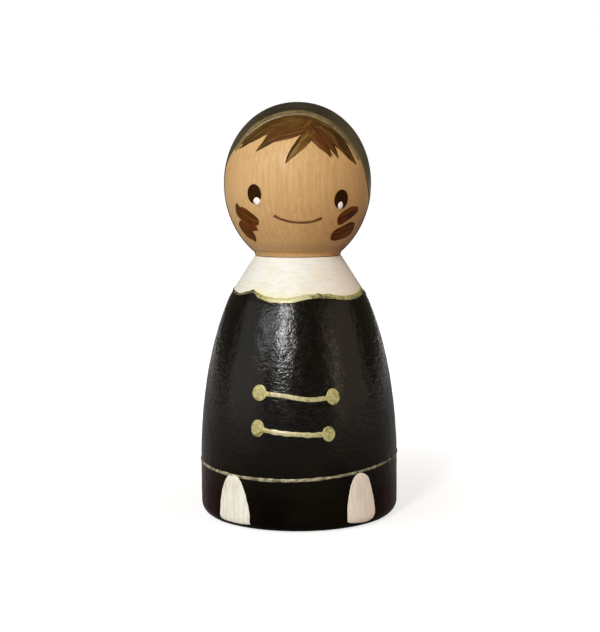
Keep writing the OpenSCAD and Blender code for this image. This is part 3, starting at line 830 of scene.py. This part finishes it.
# Hood line.
# A thin line of dull gold paint that borders the hood over the forehead. A liner drew it in one
# stroke, which thins out at the temples.
hood_line_w = 0.95


def border(side):
    """One side of the line's middle as (az, lat), and its half width on the head, which is more than
    from the front where the head curves back."""
    outer, inner = (head_skin(*opening(side, inset).T, 0) for inset in (0, hood_line_w))
    half = np.minimum(length(outer - inner) / 2, hood_line_w)
    return np.column_stack([opening(side, hood_line_w / 2), half])


sides = [border(side) for side in (-1, 1)]
# The line ends at these sines of the latitude, at the left and at the right.
sides = [side[np.sin(side[:, 1]) > end] for side, end in zip(sides, (0.38, 0.26))]
path = dense(np.concatenate([sides[0], sides[1][::-1][1:]]), 300)
run = np.linspace(0, 1, 300)
half = path[:, 2] * (0.92 + 0.08 * np.clip(unevenness(run * 6, 0, 20, 0, 14, 61), -1, 1))
half = half * np.sqrt(np.clip(np.minimum(run, 1 - run) / 0.16, 0, 1))
thick = paint_t + line_t - 0.04
line = stroke(head_skin, path[:, :2], half * 1.15, half, 0.02, thick, 0.3, 11, 0.2, 62, 1.0)
old_gold = gilt_paint("hood_line_paint", (146, 128, 86), (113, 98, 62))
finish("hood_gold_line", [line], "head", "hood_line", old_gold)

# Fringe.
# Brown hair under the hood line: a band of paint and long tapering strokes pulled down from a
# parting right of the middle, each with streaks along it from the brush.


def on_egg(points):
    """Points (x, z above the egg's middle) as seen from the front, as (az, lat) on the head."""
    points = np.asarray(points, float)
    lat = latitude(points[:, 1])
    return np.stack([np.arcsin(np.clip(points[:, 0] / egg_width(lat), -1, 1)), lat], -1)


# Stroke numbers from which a stroke of hair is a dark one, and from which a golden one.
dark_from, golden_from = 100, 200


def hair_paint(name, brown, red, dark, olive, root=0.01):
    """Brown paint in streaks along each stroke. The third value of the brush is the stroke's number,
    and its decimals say how red that stroke is. Over its first root millimetres each stroke is as
    brown as the rest."""
    made, tree, shader, place = material(name)
    marks, brush = brush_marks(tree)
    hairs, cloud = brushed(tree, place, 210, marks, (0.13, 1.35, 7.0), 1.6)
    number, grown = brush["Z"], span(tree, brush["X"], root * 0.4, root, 0.55)
    colour = mix(tree, span(tree, cloud, 0.4, 0.62), tint(*brown), tint(*olive))
    own = reckon(tree, "MULTIPLY", reckon(tree, "FRACT", number), grown)
    colour = mix(tree, own, colour, tint(*red))
    colour = mix(tree, span(tree, number, dark_from - 1, dark_from, 0, 0.7), colour, tint(*dark, 0.75))
    golden = reckon(tree, "MULTIPLY", span(tree, number, golden_from - 1, golden_from), grown)
    colour = mix(tree, golden, colour, tint(134, 97, 45))
    colour = mix(tree, span(tree, hairs, 0.42, 0.62, 0, 0.9), colour, tint(*dark))
    colour = mix(tree, span(tree, hairs, 0.46, 0.3, 0, 0.35), colour, tint(*olive, 1.35))
    cover(tree, shader, colour, hairs, (0.4, 0.55), 0.6, 0.04)
    shader["Specular IOR Level"].default_value = 0.1
    return made


def lock(guides, widths, red, number, count=70):
    """One stroke of hair through its guide points, as wide as widths says along them. A later stroke
    lies a little higher, and a dark one higher still."""
    path = curve(on_egg(guides), count)
    share = (1 - np.cos(np.linspace(0, np.pi, count))) / 2
    half = np.interp(share, np.linspace(0, 1, len(widths)), widths) / 2
    half = half * np.sqrt(np.clip(np.minimum(share, 1 - share) / 0.04, 0, 1))
    thick = line_t * (0.9 + 0.05 * (number % 10) + (0.25 if dark_from <= number < golden_from else 0))
    return stroke(head_skin, path, half, half, 0, thick, 0.25, 15, 0.35, 70 + number, number + red)


# Guide points (x, z above the egg's middle), widths along the stroke, and how red it is. The last is
# the golden one, and the band is the first.
fringe_strokes = [
    ([(-11.3, 8.1), (-8.8, 10.2), (-6.5, 11.6), (-3.4, 12.6), (0.0, 13.0), (3.0, 12.6), (5.9, 11.3),
      (8.9, 8.9)], [2.2, 3.2, 3.2, 3.8, 3.8, 3.5, 3.2, 2.6], 0.3),
    ([(3.4, 12.2), (2.5, 10.6), (1.7, 9.3), (1.2, 8.6)], [2.4, 2.9, 2.3, 1.2], 0.45),
    ([(1.7, 11.9), (-2.3, 11.6), (-5.6, 10.9), (-8.3, 9.2), (-11.3, 7.0)], [2.5, 3.6, 3.6, 2.2, 0.1], 0.1),
    ([(1.7, 10.9), (-1.4, 10.2), (-4.2, 9.4), (-6.4, 7.7), (-8.0, 6.3)], [2.5, 3.6, 3.3, 1.2, 0.1], 0.75),
    ([(2.9, 12.1), (5.4, 11.0), (7.7, 8.7), (9.4, 6.6), (10.4, 5.2), (11.5, 3.7)],
     [2.3, 3.6, 3.8, 2.4, 1.6, 0.1], 0.3),
    ([(4.0, 11.1), (5.6, 9.2), (6.5, 7.5), (7.3, 6.1), (7.9, 4.8)], [2.1, 2.3, 1.6, 1.0, 0.1], 0.7),
    ([(2.1, 11.1), (3.6, 9.2), (5.0, 7.4), (5.9, 6.2), (6.5, 5.0)], [2.9, 3.0, 2.2, 1.2, 0.1], 0.85),
    ([(3.0, 10.2), (1.7, 8.6), (0.5, 7.2), (-1.0, 5.5), (-2.3, 3.9)], [1.6, 2.0, 1.7, 0.9, 0.1], 0.0),
]
dark_strokes = [
    ([(-5.6, 10.1), (-7.2, 9.3), (-8.8, 8.6), (-10.2, 7.7), (-11.5, 6.9)], [0.4, 0.7, 0.8, 0.7, 0.1]),
    ([(-4.1, 8.4), (-5.6, 7.8), (-6.8, 7.1), (-7.9, 6.3)], [0.2, 0.8, 0.6, 0.1]),
    ([(0.8, 9.2), (0.0, 7.9), (-0.8, 6.8), (-1.6, 5.5), (-2.3, 4.1)], [0.5, 0.8, 0.7, 0.5, 0.1]),
    ([(2.7, 8.8), (1.6, 7.6), (0.5, 6.6), (-0.6, 5.5), (-1.7, 4.6)], [0.4, 0.7, 0.6, 0.4, 0.1]),
    ([(4.4, 8.2), (5.3, 7.3), (6.2, 6.2), (6.9, 5.3)], [0.1, 0.4, 0.3, 0.1]),
    ([(6.2, 10.6), (7.2, 9.2), (8.3, 7.8), (9.4, 6.6), (10.5, 5.4)], [0.4, 0.8, 0.8, 0.6, 0.1]),
    ([(3.7, 11.6), (5.6, 10.8), (7.1, 9.6), (8.5, 8.2), (9.7, 6.6)], [0.2, 0.6, 0.8, 0.6, 0.1]),
]
last = len(fringe_strokes) - 1
strands = [lock(*stroke_of, k + golden_from * (k == last)) for k, stroke_of in enumerate(fringe_strokes)]
strands += [lock(guides, widths, 0.0, dark_from + k) for k, (guides, widths) in enumerate(dark_strokes)]
hair = hair_paint("fringe_paint", (91, 64, 27), (104, 56, 24), (61, 37, 9), (99, 77, 34), 2.4)
finish("fringe_paint", strands, "head", "fringe", hair)

# Eyes.
# Each is an upright oval of near-black brown, dabbed on the face with a round brush, with a white dot
# low in it from the end of a dotting tool.


def dot_paint(name, colour, dim, gloss, mirror=0.25):
    """A drop of paint of nearly one colour, smooth, a little thinner in places."""
    made, tree, shader, place = material(name)
    cloud = brushed(tree, place, 900, place)["Cloud"]
    colour = mix(tree, span(tree, cloud, 0.35, 0.7), tint(*colour), tint(*dim))
    cover(tree, shader, colour, cloud, (gloss, gloss + 0.15), 0.4, 0.04)
    shader["Specular IOR Level"].default_value = mirror
    return made


def oval(width, height, seed, wobble=0.03):
    """An oval outline, a little uneven as a brush leaves it."""
    turn = np.linspace(0, 2 * np.pi, 72, endpoint=False)
    swell = 1 - wobble * (unevenness(turn, 0, 4, 0, 8, seed) + 1) / 2
    return np.stack([width / 2 * np.cos(turn), height / 2 * np.sin(turn)], -1) * swell[:, None]


eye_dark = dot_paint("eye_paint", (40, 18, 0), (54, 27, 1), 0.4, 0.05)
glint_white = dot_paint("glint_paint", (250, 245, 238), (242, 228, 220), 0.3)
# For each eye: its turn from the front in degrees, its depth below the egg's middle, how far its
# glint lies to the right and down, the glint's width, and a seed.
eyes = {"left": (-34.9, 1.8, 0.56, 1.36, 1.65, 81), "right": (35.9, 2.93, -0.12, 1.15, 1.25, 82)}
for word, (turn, below, aside, drop, width, seed) in eyes.items():
    az = np.radians(turn)
    eye = patch(head_skin, (az, latitude(-below)), oval(3.3, 3.85, seed), 0, line_t, 0.3, 18, 0.1, seed)
    finish(f"eye_{word}_paint", [eye], "head", f"eye_{word}", eye_dark)
    spot = (az + aside / head_r, latitude(-below - drop))
    dab = oval(width, 1.58, seed + 5, 0.08)
    glint = patch(head_skin, spot, dab, 0, line_t + paint_t, 0.45, 16, 0.1, seed)
    finish(f"glint_{word}_paint", [glint], "head", f"glint_{word}", glint_white)

# Smile.
# One thin line of brown paint on the bare face, drawn in one stroke with a liner that pressed harder
# at both ends.
smile_points = [(-4.6, -5.95), (-3.1, -6.65), (-1.2, -7.15), (0.9, -7.3), (2.9, -7.1), (4.7, -6.45)]
smile_path = curve(on_egg(smile_points), 90)
run = (1 - np.cos(np.linspace(0, np.pi, 90))) / 2
half = (0.23 + 0.09 * (2 * run - 1) ** 4) * np.sqrt(np.clip(np.minimum(run, 1 - run) / 0.03, 0, 1))
smile_line = stroke(head_skin, smile_path, half, half, 0, line_t, 0.25, 11, 0.2, 91)
smile_brown = dot_paint("smile_paint", (118, 76, 36), (90, 52, 22), 0.4)
finish("smile_paint", [smile_line], "head", "smile", smile_brown)

# Locks of hair at the cheeks.
# Short thick dabs of brown paint, three on the left cheek and two on the right. The brush was pressed
# at one end and lifted to a point at the other.
left_dabs = [
    ([(-12.0, -3.6), (-11.4, -5.2), (-10.1, -6.1), (-8.6, -6.9), (-7.5, -7.3)],
     [0.6, 3.0, 3.2, 2.5, 1.3], 0.2),
    ([(-11.3, -7.1), (-10.6, -8.15), (-9.8, -9.3), (-8.9, -10.3), (-8.2, -11.2)],
     [3.0, 4.0, 3.5, 2.4, 0.2], 0.3),
    ([(-10.7, -7.1), (-9.5, -7.9), (-8.4, -8.4), (-7.7, -8.9)], [3.2, 2.9, 1.5, 0.2], 0.9),
]
right_dabs = [
    ([(11.9, -4.9), (10.5, -5.5), (9.3, -6.2), (8.3, -6.9), (7.7, -7.1)], [1.2, 2.5, 2.6, 2.3, 1.5], 0.6),
    ([(11.0, -8.7), (10.0, -9.0), (8.7, -9.5), (7.4, -9.9), (6.5, -10.0)], [2.5, 3.7, 3.4, 3.0, 1.6], 0.5),
]
lock_brown = hair_paint("lock_paint", (104, 62, 10), (112, 44, 6), (62, 28, 2), (94, 60, 8))
for word, dabs, first in (("left", left_dabs, 20), ("right", right_dabs, 30)):
    made = [lock(*dab, first + k) for k, dab in enumerate(dabs)]
    finish(f"locks_{word}_paint", made, "head", f"locks_{word}", lock_brown)
